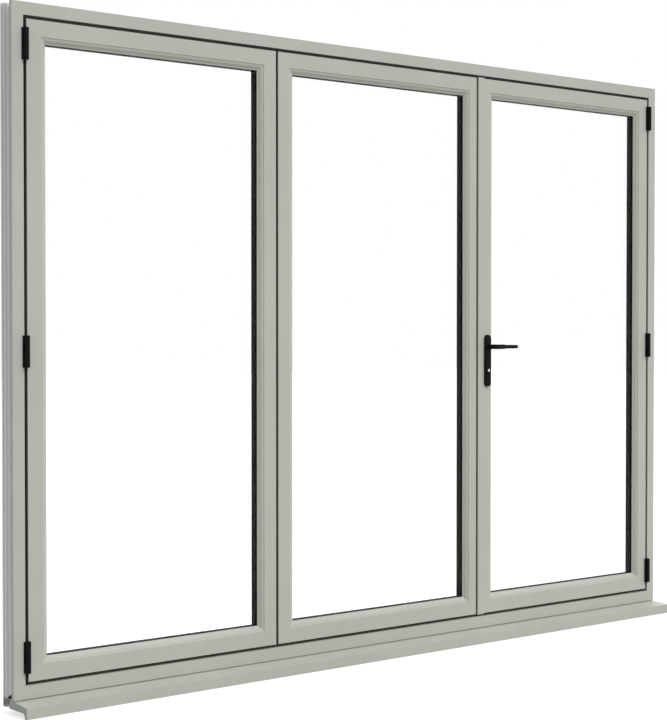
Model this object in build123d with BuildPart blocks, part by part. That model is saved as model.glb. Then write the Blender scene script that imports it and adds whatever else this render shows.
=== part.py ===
from build123d import *
import os
from math import sqrt

# Bi-fold door, three glazed leaves in one aluminium frame, seen as built: two leaves fold
# outwards to the left and the third, on the right jamb, opens by itself as the access leaf.
# X runs along the door, Y inwards from its outer face, Z up from the underside of the sill.

os.makedirs("parts", exist_ok=True)

# Outer frame
frame_width = 3000.0
frame_height = 2142.6
frame_depth = 72.6
jamb_face = 40.0
threshold_face = 42.2
wall = 2.0

# Grooves in the wall side of the frame, from the outer face inwards
painted_return = 14.0
side_step = 1.5
channel_mouth_start = 17.0
channel_floor_start = 24.0
channel_floor_end = 42.0
channel_mouth_end = 50.0
channel_depth = 12.0
rear_groove_start = 55.0
rear_groove_end = 65.0
rear_groove_depth = 3.5

# Groove in the leaf side of the frame, where the thermal break and the track lie
track_start = 24.0
track_end = 44.0
track_depth = 5.0

# Leaves
leaf_gap = 11.0
panel_gap = 10.0
fold_leaf_width = 958.25
leaf_depth = 66.0
flat_width = 51.0
bar_width = 52.0
flange_depth = 15.0
lip_width = 71.0

# Sculpted rim of the leaf, as steps of width and depth from the flat to the lip
rim_quirk_depth = 2.0
rim_slope_width, rim_slope_depth = 8.0, 2.5
rim_ovolo_width, rim_ovolo_depth = 7.0, 6.5
lip_thickness = 2.0

# Hardware groove and webs inside a leaf bar
hardware_start = 24.0
hardware_end = 40.0
hardware_depth = 5.0
rear_web = 44.0

# Meeting of the second leaf with the access leaf
meeting_gap = 8.2
meeting_rebate = 13.2
meeting_rebate_depth = 17.0
strip_thickness = 10.0
strip_width = 32.0
strip_overrun = 3.4

# Glazing
glass_cover = 13.0
pane_thickness = 4.0
cavity = 20.0
outer_gasket = 3.0
inner_gasket = 2.5
gasket_width = 9.0
bead_back = 64.0
bead_nose = 2.0
bead_foot = 2.0
bead_setback = 2.6

# Seal round the edge of each leaf
seal_start = 5.0
seal_stem = 6.0
seal_groove = 2.0
seal_lip = 1.0
seal_reach = 4.1
seal_round = 1.5

# Sill
sill_base_height = 26.8
sill_projection = 78.0
sill_front_height = 17.9
sill_nose_drop = 17.0
sill_nose_foot = 6.5
sill_nose_top = 16.0
sill_wall = 2.2
sill_box_back = 30.0
sill_slope_end = 8.0
sill_seat_gap = 2.0
sill_leg_start = 54.0
sill_hook_back = 44.0
sill_hook_reach = 8.0
sill_hook_foot = 9.0
end_cap_thickness = 2.0

# Hinges
hinge_height = 98.5
hinge_inset = 76.8
hinge_axis_out = 8.7
barrel_radius = 8.4
pin_radius = 4.0
pin_clearance = 0.05
knuckle_gap = 0.3
wing_half_width = 11.6
wing_thickness = 3.0
wing_clearance = 0.4

# Handle set
plate_width = 30.0
plate_height = 197.0
plate_thickness = 10.0
plate_corner = 14.5
plate_above_spindle = 45.5
spindle_inset = 15.5
cylinder_drop = 90.0
neck_radius = 9.0
neck_clearance = 0.08
lever_stand_off = 46.0
lever_length = 112.0
elbow_length = 40.0
elbow_fall = 4.0
grip_height, grip_depth = 14.0, 14.0
tip_height, tip_depth = 13.0, 10.0
tip_round = 5.0
lever_edge = 2.5
spindle_side = 8.0
spindle_hole = 11.2
cylinder_radius = 8.5
cylinder_web_width = 10.0
cylinder_height = 33.0
cylinder_proud = 2.0
cylinder_clearance = 0.3

# Lock in the edge of the access leaf, with its bolts drawn back, and the keep opposite
lock_plate_thickness = 3.0
lock_plate_margin = 35.0
lock_case_margin = 45.0
lock_case_depth = 42.0
lock_case_thickness = 14.0
lock_clearance = 0.5
follower_radius = 6.1
bolt_thickness = 10.0
bolt_proud = 0.8
bolt_length = 22.0
bolt_clearance = 0.25
latch_height, latch_rise = 18.0, 20.0
deadbolt_height, deadbolt_drop = 34.0, 45.0
keep_pocket = 1.0

# Places worked out from the sizes above
half_width = frame_width / 2
frame_bottom = sill_base_height
frame_top = frame_bottom + frame_height
leaf_bottom = frame_bottom + threshold_face + leaf_gap
leaf_top = frame_top - jamb_face - leaf_gap
leaf_height = leaf_top - leaf_bottom
leaf_middle = (leaf_top + leaf_bottom) / 2
leaf_1_left = -half_width + jamb_face + leaf_gap
leaf_1_right = leaf_1_left + fold_leaf_width
leaf_2_left = leaf_1_right + panel_gap
leaf_2_right = leaf_2_left + fold_leaf_width
leaf_3_left = leaf_2_right + meeting_gap
leaf_3_right = half_width - jamb_face - leaf_gap
strip_left = leaf_2_right - meeting_rebate + panel_gap
strip_right = strip_left + strip_width

pane_1 = flange_depth + outer_gasket
pane_2 = pane_1 + pane_thickness + cavity
bead_front = pane_2 + pane_thickness + inner_gasket
glass_edge = lip_width - glass_cover

hinge_levels = (
    leaf_bottom + hinge_inset,
    leaf_middle,
    leaf_top - hinge_inset,
)
spindle_x = leaf_3_left + flat_width - spindle_inset
spindle_z = leaf_middle
cylinder_z = spindle_z - cylinder_drop
cylinder_top = cylinder_z + cylinder_radius + cylinder_clearance


def export(part, name):
    """Names a finished piece and writes it."""
    part.label = name
    export_step(part, f"parts/{name}.step")


def facing_out(depth):
    """Plane parallel to the door's face at a depth, with its normal towards the outside."""
    return Plane(origin=(0, depth, 0), x_dir=(1, 0, 0), z_dir=(0, -1, 0))


def facing_right(place):
    """Plane across the door at a place along it, with its normal along X."""
    return Plane(origin=(place, 0, 0), x_dir=(0, 1, 0), z_dir=(1, 0, 0))


# Sections, drawn with x from the edge of the bar and y inwards from its outer face


def frame_section(face):
    """Hollow section of an outer frame bar, with the grooved wall side at x = 0."""
    floor = channel_depth + wall
    with BuildSketch() as section:
        with BuildLine():
            Polyline(
                (0, 0),
                (face, 0),
                (face, frame_depth),
                (0, frame_depth),
                (0, rear_groove_end),
                (rear_groove_depth, rear_groove_end),
                (rear_groove_depth, rear_groove_start),
                (side_step, rear_groove_start),
                (side_step, channel_mouth_end),
                (channel_depth, channel_floor_end),
                (channel_depth, channel_floor_start),
                (side_step, channel_mouth_start),
                (side_step, painted_return),
                (0, painted_return),
                close=True,
            )
        make_face()
        with Locations((face, track_start)):
            Rectangle(
                track_depth,
                track_end - track_start,
                align=(Align.MAX, Align.MIN),
                mode=Mode.SUBTRACT,
            )
        with Locations((wall, wall)):
            Rectangle(
                face - 2 * wall,
                painted_return - 2 * wall,
                align=(Align.MIN, Align.MIN),
                mode=Mode.SUBTRACT,
            )
        with Locations((floor, painted_return)):
            Rectangle(
                face - floor - track_depth - wall,
                channel_mouth_end - painted_return,
                align=(Align.MIN, Align.MIN),
                mode=Mode.SUBTRACT,
            )
        with Locations((rear_groove_depth + wall, channel_mouth_end + wall)):
            Rectangle(
                face - rear_groove_depth - 2 * wall,
                frame_depth - channel_mouth_end - 2 * wall,
                align=(Align.MIN, Align.MIN),
                mode=Mode.SUBTRACT,
            )
    return section.sketch


def leaf_section(front_edge=0.0, rebate_depth=0.0, seal=True):
    """Hollow section of a leaf bar, with its sculpted rim and glazing flange.

    Where front_edge is above 0 the outer face starts there, and the edge behind it stays at 0.
    """
    slope_end = bar_width + rim_slope_width
    ovolo_end = slope_end + rim_ovolo_width
    slope_back = rim_quirk_depth + rim_slope_depth
    ovolo_back = slope_back + rim_ovolo_depth
    edge = [(0, rebate_depth), (front_edge, rebate_depth)] if front_edge else []
    with BuildSketch() as section:
        with BuildLine():
            Polyline(
                (front_edge, 0),
                (flat_width, 0),
                (bar_width, rim_quirk_depth),
                (slope_end, slope_back),
                (ovolo_end, ovolo_back),
                (lip_width, flange_depth - lip_thickness),
                (lip_width, flange_depth),
                (bar_width, flange_depth),
                (bar_width, leaf_depth),
                (0, leaf_depth),
                *edge,
                close=True,
            )
        make_face()
        with BuildLine():
            Polyline(
                (front_edge + seal_groove + wall, wall),
                (flat_width - wall / 2, wall),
                (bar_width - wall / 2, rim_quirk_depth + wall),
                (slope_end - wall / 2, slope_back + wall),
                (ovolo_end - wall, flange_depth - wall),
                (front_edge + seal_groove + wall, flange_depth - wall),
                close=True,
            )
        make_face(mode=Mode.SUBTRACT)
        if seal:
            with Locations((front_edge, seal_start)):
                Rectangle(
                    seal_groove,
                    seal_stem,
                    align=(Align.MIN, Align.MIN),
                    mode=Mode.SUBTRACT,
                )
        with Locations((0, hardware_start)):
            Rectangle(
                hardware_depth,
                hardware_end - hardware_start,
                align=(Align.MIN, Align.MIN),
                mode=Mode.SUBTRACT,
            )
        middle_start = max(flange_depth, rebate_depth + wall)
        with Locations((hardware_depth + wall, middle_start)):
            Rectangle(
                bar_width - hardware_depth - 2 * wall,
                rear_web - middle_start,
                align=(Align.MIN, Align.MIN),
                mode=Mode.SUBTRACT,
            )
        with Locations((wall, rear_web + wall)):
            Rectangle(
                bar_width - 2 * wall,
                leaf_depth - rear_web - 2 * wall,
                align=(Align.MIN, Align.MIN),
                mode=Mode.SUBTRACT,
            )
    return section.sketch


def bead_section():
    """Sloping glazing bead that holds the glass from the inside."""
    with BuildSketch() as section:
        with BuildLine():
            Polyline(
                (bar_width, bead_front),
                (lip_width - bead_setback, bead_front),
                (lip_width - bead_setback, bead_front + bead_nose),
                (bar_width + bead_foot, bead_back),
                (bar_width, bead_back),
                close=True,
            )
        make_face()
    return section.sketch


def mitred_bar(section, corner, along, across, length, cuts):
    """Extrudes a section along one side of a rectangle and mitres its two ends.

    cuts holds, for each end, how far the mitre runs along the bar over its own width.
    """
    along, across = Vector(*along), Vector(*across)
    start = Vector(*corner)
    end = start + along * length
    with BuildPart() as bar:
        with BuildSketch(Plane(origin=start, x_dir=across, z_dir=along)):
            add(section)
        extrude(amount=length)
        split(bisect_by=Plane(origin=start, z_dir=along - across * cuts[0]), keep=Keep.TOP)
        split(bisect_by=Plane(origin=end, z_dir=-along - across * cuts[1]), keep=Keep.TOP)
    return bar.part


def four_bars(sections, left, right, bottom, top, slopes=(1.0, 1.0, 1.0, 1.0)):
    """The left, top, right and bottom bars of a rectangle, mitred at its corners.

    slopes holds each bar's mitre run over its width, as (sides at the bottom, sides at the top,
    top bar, bottom bar).
    """
    width, height = right - left, top - bottom
    low, high, over, under = slopes
    to_right, to_left, up, down = (1, 0, 0), (-1, 0, 0), (0, 0, 1), (0, 0, -1)
    return (
        mitred_bar(sections[0], (left, 0, bottom), up, to_right, height, (low, high)),
        mitred_bar(sections[1], (left, 0, top), to_right, down, width, (over, over)),
        mitred_bar(sections[2], (right, 0, top), down, to_left, height, (high, low)),
        mitred_bar(sections[3], (right, 0, bottom), to_left, up, width, (under, under)),
    )


# Outer frame, its sides and head alike and the threshold a little taller

jamb_profile = frame_section(jamb_face)
threshold_profile = frame_section(threshold_face)
frame_bars = four_bars(
    (jamb_profile, jamb_profile, jamb_profile, threshold_profile),
    -half_width,
    half_width,
    frame_bottom,
    frame_top,
    (threshold_face / jamb_face, 1.0, 1.0, jamb_face / threshold_face),
)
for bar, name in zip(frame_bars, ("left_jamb", "head", "right_jamb", "threshold")):
    export(bar, name)

# Sill, a closed box in front with a sloping top and a drip nose, and a seat and leg behind

seat_bottom = sill_base_height - sill_wall
slope_top = sill_base_height - sill_seat_gap
box_outline = [
    (-sill_projection, -sill_nose_drop),
    (-sill_projection, sill_front_height),
    (sill_slope_end, slope_top),
    (sill_box_back, slope_top),
    (sill_box_back, 0),
    (-sill_projection + sill_nose_top, 0),
    (-sill_projection + sill_nose_foot, -sill_nose_drop),
]
left_end = facing_right(-half_width)

with BuildPart() as sill:
    with BuildSketch(left_end.offset(end_cap_thickness)):
        with BuildLine():
            Polyline(*box_outline, close=True)
        make_face()
        with BuildLine():
            Polyline(
                (-sill_projection + sill_wall, -sill_nose_drop + sill_wall),
                (-sill_projection + sill_wall, sill_front_height - sill_wall),
                (sill_slope_end, slope_top - sill_wall),
                (sill_box_back - sill_wall, slope_top - sill_wall),
                (sill_box_back - sill_wall, sill_wall),
                (-sill_projection + sill_nose_top, sill_wall),
                (-sill_projection + sill_nose_foot, -sill_nose_drop + sill_wall),
                close=True,
            )
        make_face(mode=Mode.SUBTRACT)
        with Locations((sill_slope_end, seat_bottom)):
            Rectangle(
                frame_depth - sill_slope_end,
                sill_wall,
                align=(Align.MIN, Align.MIN),
            )
        with Locations((sill_leg_start, 0)):
            Rectangle(
                frame_depth - sill_leg_start,
                sill_base_height,
                align=(Align.MIN, Align.MIN),
            )
        with Locations((sill_hook_back, sill_hook_foot)):
            Rectangle(
                sill_wall,
                seat_bottom - sill_hook_foot,
                align=(Align.MAX, Align.MIN),
            )
            Rectangle(sill_hook_reach, sill_wall, align=(Align.MAX, Align.MIN))
        with Locations((sill_leg_start + sill_wall, sill_wall)):
            Rectangle(
                frame_depth - sill_leg_start - 2 * sill_wall,
                sill_base_height - 2 * sill_wall,
                align=(Align.MIN, Align.MIN),
                mode=Mode.SUBTRACT,
            )
    extrude(amount=frame_width - 2 * end_cap_thickness)
export(sill.part, "sill")

with BuildPart() as sill_end_caps:
    for cap_plane in (left_end, left_end.offset(frame_width - end_cap_thickness)):
        with BuildSketch(cap_plane):
            with BuildLine():
                Polyline(*box_outline, close=True)
            make_face()
        extrude(amount=end_cap_thickness)
export(sill_end_caps.part, "sill_end_caps")

# Leaves


def band(left, right, outset, inset, near, far, rounding=0.0):
    """Flat ring that follows a leaf's outline, from outset outside it to inset inside it."""
    with BuildPart() as ring:
        with BuildSketch(facing_out(near)):
            with Locations(((left + right) / 2, leaf_middle)):
                Rectangle(right - left + 2 * outset, leaf_height + 2 * outset)
                Rectangle(
                    right - left - 2 * inset,
                    leaf_height - 2 * inset,
                    mode=Mode.SUBTRACT,
                )
        extrude(amount=near - far)
        if rounding:
            outer = ring.faces().filter_by(Axis.Z).sort_by(Axis.Z)
            sides = ring.faces().filter_by(Axis.X).sort_by(Axis.X)
            rims = outer[0].edges() + outer[-1].edges() + sides[0].edges() + sides[-1].edges()
            fillet(rims.filter_by(Axis.Y, reverse=True), rounding)
    return ring.part


def glass_panes(left, right):
    """The two panes of a sealed unit."""
    with BuildPart() as panes:
        for start in (pane_1, pane_2):
            with BuildSketch(facing_out(start)):
                with Locations(((left + right) / 2, leaf_middle)):
                    Rectangle(right - left - 2 * glass_edge, leaf_height - 2 * glass_edge)
            extrude(amount=-pane_thickness)
    return panes.part


def glazing_bead(left, right):
    """Bead ring with mitred corners, one piece once it is clipped in."""
    sections = [bead_section()] * 4
    with BuildPart() as bead:
        for piece in four_bars(sections, left, right, leaf_bottom, leaf_top):
            add(piece)
    return bead.part


def gaskets(left, right, seal_left, seal_right):
    """Two glazing gaskets and the seal round the leaf's edge."""
    inset = lip_width - gasket_width
    with BuildPart() as rubber:
        add(band(left, right, -inset, lip_width, flange_depth, pane_1))
        add(band(left, right, -inset, lip_width, bead_front - inner_gasket, bead_front))
        add(
            band(
                seal_left,
                seal_right,
                seal_reach,
                0,
                seal_start - seal_lip,
                seal_start + seal_stem + seal_lip,
                seal_round,
            )
        )
        add(band(seal_left, seal_right, 0, seal_groove, seal_start, seal_start + seal_stem))
    return rubber.part


def cut_back(piece, low, high, near, far):
    """Removes what a piece has between two places along X and between two depths."""
    with BuildPart() as trimmed:
        add(piece)
        with BuildSketch(facing_out(near)):
            with Locations((low, leaf_middle)):
                Rectangle(high - low, frame_height, align=(Align.MIN, Align.CENTER))
        extrude(amount=near - far, mode=Mode.SUBTRACT)
    return trimmed.part


plain_bar = leaf_section()
leaves = {
    "leaf_1": (leaf_1_left, leaf_1_right),
    "leaf_2": (leaf_2_left, leaf_2_right),
    "leaf_3": (leaf_3_left, leaf_3_right),
}
rebated_bar = leaf_section(meeting_rebate, meeting_rebate_depth)
strip_bar = leaf_section(strip_right - leaf_3_left, strip_thickness, seal=False)
side_bars = {
    "leaf_1": (plain_bar, plain_bar),
    "leaf_2": (plain_bar, rebated_bar),
    "leaf_3": (strip_bar, plain_bar),
}

# Lock heights, and each bolt's height and level
groove_middle = (hardware_start + hardware_end) / 2
case_top = spindle_z + lock_case_margin
case_bottom = cylinder_z - lock_case_margin
case_height = case_top - case_bottom
case_middle = (case_top + case_bottom) / 2
bolts = (
    (latch_height, spindle_z + latch_rise),
    (deadbolt_height, spindle_z - deadbolt_drop),
)

spacer_start = pane_1 + pane_thickness
for name, (left, right) in leaves.items():
    left_bar, right_bar = side_bars[name]
    sections = (left_bar, plain_bar, right_bar, plain_bar)
    bars = four_bars(sections, left, right, leaf_bottom, leaf_top)
    for bar, side in zip(bars, ("left_stile", "top_rail", "right_stile", "bottom_rail")):
        if name == "leaf_2" and side in ("top_rail", "bottom_rail"):
            rebate = right - meeting_rebate
            bar = cut_back(bar, rebate, right, 0, meeting_rebate_depth)
            bar = cut_back(bar, rebate - seal_groove, right, seal_start, seal_start + seal_stem)
        if name == "leaf_3" and side in ("top_rail", "bottom_rail"):
            bar = cut_back(bar, left, strip_right, 0, strip_thickness)
        if name == "leaf_3" and side == "left_stile":
            with BuildPart() as drilled:
                add(bar)
                with BuildSketch(facing_out(0)):
                    with Locations((spindle_x, spindle_z)):
                        Circle(spindle_hole)
                    with Locations((spindle_x, cylinder_z)):
                        Circle(cylinder_radius + cylinder_clearance)
                    with Locations((spindle_x, cylinder_top)):
                        Rectangle(
                            cylinder_web_width + 2 * cylinder_clearance,
                            cylinder_height + 2 * cylinder_clearance,
                            align=(Align.CENTER, Align.MAX),
                        )
                extrude(amount=-leaf_depth, mode=Mode.SUBTRACT)
                with BuildSketch(facing_right(left + hardware_depth)):
                    with Locations((groove_middle, case_middle)):
                        Rectangle(
                            lock_case_thickness + 2 * lock_clearance,
                            case_height + 2 * lock_clearance,
                        )
                extrude(amount=wall, mode=Mode.SUBTRACT)
            bar = drilled.part
        if name == "leaf_2" and side == "right_stile":
            with BuildPart() as pocketed:
                add(bar)
                with BuildSketch(facing_right(right - hardware_depth)):
                    for height, level in bolts:
                        with Locations((groove_middle, level)):
                            Rectangle(
                                bolt_thickness + 2 * keep_pocket,
                                height + 2 * keep_pocket,
                            )
                extrude(amount=-wall, mode=Mode.SUBTRACT)
            bar = pocketed.part
        export(bar, f"{name}_{side}")
    export(glass_panes(left, right), f"{name}_glass")
    export(
        band(left, right, -(lip_width - gasket_width), lip_width, spacer_start, pane_2),
        f"{name}_spacer",
    )
    export(glazing_bead(left, right), f"{name}_bead")
    seal_left = strip_right if name == "leaf_3" else left
    seal_right = right - meeting_rebate if name == "leaf_2" else right
    rubber = gaskets(left, right, seal_left, seal_right)
    if name == "leaf_3":
        rubber = cut_back(rubber, left, strip_right + seal_groove, 0, flange_depth)
    export(rubber, f"{name}_gaskets")

# Meeting strip that laps over the edge of the second leaf

with BuildPart() as meeting_strip:
    with BuildSketch(Plane.XY.offset(leaf_bottom - strip_overrun)):
        with Locations((strip_left, 0)):
            Rectangle(strip_width, strip_thickness, align=(Align.MIN, Align.MIN))
        with Locations((strip_left + wall, wall)):
            Rectangle(
                strip_width - 2 * wall,
                strip_thickness - 2 * wall,
                align=(Align.MIN, Align.MIN),
                mode=Mode.SUBTRACT,
            )
    extrude(amount=leaf_height + 2 * strip_overrun)
export(meeting_strip.part, "meeting_strip")

# Hinges


def hinge_half(axis_x, face_y, side, out, pin):
    """One half of each hinge in a row of three, with its wing, its knuckles and perhaps its pin.

    side is -1 for the half to the left of the axis and 1 for the right one; out is -1 where the
    barrel stands outside the door and 1 where it stands inside. The half with the pin has the
    two end knuckles and the other half has the middle one.
    """
    axis_y = face_y + out * hinge_axis_out
    reach = barrel_radius + wing_clearance
    wing_start = sqrt(reach**2 - (hinge_axis_out - wing_thickness) ** 2)
    third = hinge_height / 3
    outer_knuckles = ((0, third), (2 * third, hinge_height))
    middle_knuckle = ((third + knuckle_gap, 2 * third - knuckle_gap),)
    spans = outer_knuckles if pin else middle_knuckle
    with BuildPart() as half:
        for level in hinge_levels:
            bottom = level - hinge_height / 2
            with BuildSketch(Plane.XY.offset(bottom)):
                with BuildLine():
                    Polyline(
                        (axis_x + side * wing_start, face_y),
                        (axis_x + side * wing_half_width, face_y),
                        (axis_x + side * wing_half_width, face_y + out * wing_thickness),
                        (axis_x + side * wing_start, face_y + out * wing_thickness),
                        close=True,
                    )
                make_face()
            extrude(amount=hinge_height)
            for low, high in spans:
                with BuildSketch(Plane.XY.offset(bottom + low)):
                    with Locations((axis_x, axis_y)):
                        Circle(barrel_radius)
                    with BuildLine():
                        Polyline(
                            (axis_x + side * leaf_gap / 2, face_y),
                            (axis_x + side * wing_half_width, face_y),
                            (axis_x + side * wing_half_width, face_y + out * wing_thickness),
                            (axis_x + side * barrel_radius, axis_y),
                            (axis_x, axis_y),
                            close=True,
                        )
                    make_face()
                    if not pin:
                        with Locations((axis_x, axis_y)):
                            Circle(pin_radius + pin_clearance, mode=Mode.SUBTRACT)
                extrude(amount=high - low)
            if pin:
                with BuildSketch(Plane.XY.offset(bottom + third)):
                    with Locations((axis_x, axis_y)):
                        Circle(pin_radius)
                extrude(amount=third)
    return half.part


left_axis = leaf_1_left - leaf_gap / 2
fold_axis = leaf_1_right + panel_gap / 2
right_axis = leaf_3_right + leaf_gap / 2
export(hinge_half(left_axis, 0, -1, -1, True), "left_hinge_frame_halves")
export(hinge_half(left_axis, 0, 1, -1, False), "left_hinge_leaf_halves")
export(hinge_half(fold_axis, leaf_depth, -1, 1, True), "fold_hinge_leaf_1_halves")
export(hinge_half(fold_axis, leaf_depth, 1, 1, False), "fold_hinge_leaf_2_halves")
export(hinge_half(right_axis, 0, 1, -1, True), "right_hinge_frame_halves")
export(hinge_half(right_axis, 0, -1, -1, False), "right_hinge_leaf_halves")

# Handle set, the same outside and inside


def backplate(face_y, out):
    """Rounded plate with the bore for the lever's neck and the cut for the key cylinder."""
    top = spindle_z + plate_above_spindle
    with BuildPart() as plate:
        with BuildSketch(facing_out(face_y)):
            with Locations((spindle_x, top - plate_height / 2)):
                RectangleRounded(plate_width, plate_height, plate_corner)
            with Locations((spindle_x, spindle_z)):
                Circle(neck_radius + neck_clearance, mode=Mode.SUBTRACT)
            with Locations((spindle_x, cylinder_z)):
                Circle(cylinder_radius + cylinder_clearance, mode=Mode.SUBTRACT)
            with Locations((spindle_x, cylinder_top)):
                Rectangle(
                    cylinder_web_width + 2 * cylinder_clearance,
                    cylinder_height + 2 * cylinder_clearance,
                    align=(Align.CENTER, Align.MAX),
                    mode=Mode.SUBTRACT,
                )
        extrude(amount=-out * plate_thickness)
    return plate.part


def lever(face_y, out):
    """Lever with a round neck through the plate, a full elbow and a grip that tapers to its tip.

    The grip is drawn from outside and from above, and is what lies within both outlines.
    """
    neck_foot = face_y + out * wall
    grip_middle = face_y + out * (plate_thickness + lever_stand_off)
    back = grip_middle - out * grip_depth / 2
    tip_x = spindle_x + lever_length
    elbow_x = spindle_x + elbow_length
    with BuildPart() as grip:
        with BuildSketch(facing_out(back)):
            with BuildLine():
                Polyline(
                    (spindle_x, spindle_z + neck_radius),
                    (elbow_x, spindle_z + neck_radius),
                    (elbow_x + elbow_fall, spindle_z + grip_height / 2),
                    (tip_x - tip_round, spindle_z + tip_height / 2),
                )
                ThreePointArc(
                    (tip_x - tip_round, spindle_z + tip_height / 2),
                    (tip_x, spindle_z),
                    (tip_x - tip_round, spindle_z - tip_height / 2),
                )
                Polyline(
                    (tip_x - tip_round, spindle_z - tip_height / 2),
                    (elbow_x + elbow_fall, spindle_z - grip_height / 2),
                    (elbow_x, spindle_z - neck_radius),
                    (spindle_x, spindle_z - neck_radius),
                )
                ThreePointArc(
                    (spindle_x, spindle_z - neck_radius),
                    (spindle_x - neck_radius, spindle_z),
                    (spindle_x, spindle_z + neck_radius),
                )
            make_face()
        extrude(amount=-out * grip_depth)
        with BuildSketch(Plane.XY.offset(spindle_z - neck_radius)):
            with BuildLine():
                Polyline(
                    (spindle_x - neck_radius, back),
                    (tip_x - lever_edge, back),
                    (tip_x, back + out * lever_edge),
                    (tip_x, back + out * (tip_depth - lever_edge)),
                    (tip_x - lever_edge, back + out * tip_depth),
                    (spindle_x + elbow_length / 2, back + out * grip_depth),
                    (spindle_x, back + out * grip_depth),
                    (spindle_x - neck_radius, back + out * (grip_depth - neck_radius)),
                    close=True,
                )
            make_face()
        extrude(amount=2 * neck_radius, mode=Mode.INTERSECT)
    with BuildPart() as handle:
        with BuildSketch(facing_out(neck_foot)):
            with Locations((spindle_x, spindle_z)):
                Circle(neck_radius)
        extrude(amount=-(back - neck_foot))
        add(grip.part)
    return handle.part


export(backplate(0, -1), "outside_backplate")
export(backplate(leaf_depth, 1), "inside_backplate")
export(lever(0, -1), "outside_lever")
export(lever(leaf_depth, 1), "inside_lever")

with BuildPart() as spindle:
    with BuildSketch(facing_out(-wall)):
        with Locations((spindle_x, spindle_z)):
            Rectangle(spindle_side, spindle_side)
    extrude(amount=-(leaf_depth + 2 * wall))
export(spindle.part, "spindle")

cylinder_front = -plate_thickness - cylinder_proud
with BuildPart() as lock_cylinder:
    with BuildSketch(facing_out(cylinder_front)):
        with Locations((spindle_x, cylinder_z)):
            Circle(cylinder_radius)
        with Locations((spindle_x, cylinder_z + cylinder_radius)):
            Rectangle(cylinder_web_width, cylinder_height, align=(Align.CENTER, Align.MAX))
    extrude(amount=-(leaf_depth - 2 * cylinder_front))
export(lock_cylinder.part, "lock_cylinder")

# Lock and keep, each in the hardware groove of its leaf

lock_face = leaf_3_left + hardware_depth - lock_plate_thickness
with BuildPart() as lock_case:
    with BuildSketch(facing_right(lock_face)):
        with Locations((groove_middle, case_middle)):
            Rectangle(hardware_end - hardware_start, case_height + 2 * lock_plate_margin)
    extrude(amount=lock_plate_thickness)
    with BuildSketch(facing_right(leaf_3_left + hardware_depth)):
        with Locations((groove_middle, case_middle)):
            Rectangle(lock_case_thickness, case_height)
    extrude(amount=lock_case_depth)
    with BuildSketch(facing_right(lock_face)):
        for height, level in bolts:
            with Locations((groove_middle, level)):
                Rectangle(
                    bolt_thickness + 2 * bolt_clearance,
                    height + 2 * bolt_clearance,
                )
    extrude(amount=bolt_length + bolt_clearance, mode=Mode.SUBTRACT)
    with BuildSketch(facing_out(0)):
        with Locations((spindle_x, spindle_z)):
            Circle(follower_radius)
        with Locations((spindle_x, cylinder_z)):
            Circle(cylinder_radius + cylinder_clearance)
        with Locations((spindle_x, cylinder_top)):
            Rectangle(
                cylinder_web_width + 2 * cylinder_clearance,
                cylinder_height + 2 * cylinder_clearance,
                align=(Align.CENTER, Align.MAX),
            )
    extrude(amount=-leaf_depth, mode=Mode.SUBTRACT)
    with BuildSketch(facing_right(lock_face - bolt_proud)):
        for height, level in bolts:
            with Locations((groove_middle, level)):
                Rectangle(bolt_thickness, height)
    extrude(amount=bolt_length + bolt_proud)
export(lock_case.part, "lock_case")

with BuildPart() as lock_keep:
    with BuildSketch(facing_right(leaf_2_right - hardware_depth)):
        with Locations((groove_middle, case_middle)):
            Rectangle(hardware_end - hardware_start, case_height)
        for height, level in bolts:
            with Locations((groove_middle, level)):
                Rectangle(
                    bolt_thickness + 2 * keep_pocket,
                    height + 2 * keep_pocket,
                    mode=Mode.SUBTRACT,
                )
    extrude(amount=lock_plate_thickness)
export(lock_keep.part, "lock_keep")
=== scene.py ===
"""Aluminium bi-fold door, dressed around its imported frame.

Units are metres. X runs along the door seen from outside, Y goes inwards through it and Z up.
"""

from __future__ import annotations

import logging
import math
from collections.abc import Callable
from dataclasses import dataclass, field
from enum import Enum

import bmesh
import bpy
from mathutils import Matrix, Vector

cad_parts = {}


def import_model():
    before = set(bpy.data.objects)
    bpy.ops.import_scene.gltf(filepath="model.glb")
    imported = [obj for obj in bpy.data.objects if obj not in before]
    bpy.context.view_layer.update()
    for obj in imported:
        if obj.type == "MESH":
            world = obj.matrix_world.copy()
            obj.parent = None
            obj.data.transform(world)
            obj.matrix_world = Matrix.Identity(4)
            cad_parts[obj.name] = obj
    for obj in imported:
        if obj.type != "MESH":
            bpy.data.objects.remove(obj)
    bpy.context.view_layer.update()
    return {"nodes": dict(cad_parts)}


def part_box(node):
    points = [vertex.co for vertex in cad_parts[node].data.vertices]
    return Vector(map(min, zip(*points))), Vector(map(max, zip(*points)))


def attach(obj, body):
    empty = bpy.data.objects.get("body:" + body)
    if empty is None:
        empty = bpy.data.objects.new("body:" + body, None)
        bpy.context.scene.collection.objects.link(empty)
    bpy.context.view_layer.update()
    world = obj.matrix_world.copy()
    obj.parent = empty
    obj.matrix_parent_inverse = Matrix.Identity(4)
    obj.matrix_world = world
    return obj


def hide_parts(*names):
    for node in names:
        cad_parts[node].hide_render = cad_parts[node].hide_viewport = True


log = logging.getLogger("bifold_door")

MM = 0.001

# Two places closer than this count as the same
NEAR = 0.1 * MM
# A face looks along an axis where more than this share of its normal does
FACING = 0.9

Colour = tuple[float, float, float]
Point = tuple[float, float, float]
Pair = tuple[float, float]
Piece = bpy.types.Object
Material = bpy.types.Material
Node = bpy.types.Node
Socket = bpy.types.NodeSocket


def linear(red: int, green: int, blue: int) -> Colour:
    """Turns a colour written as three numbers from 0 to 255 into linear values."""

    def channel(value: int) -> float:
        """One channel, by the standard display curve."""
        share = value / 255
        return share / 12.92 if share <= 0.04045 else ((share + 0.055) / 1.055) ** 2.4

    return channel(red), channel(green), channel(blue)


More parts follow.
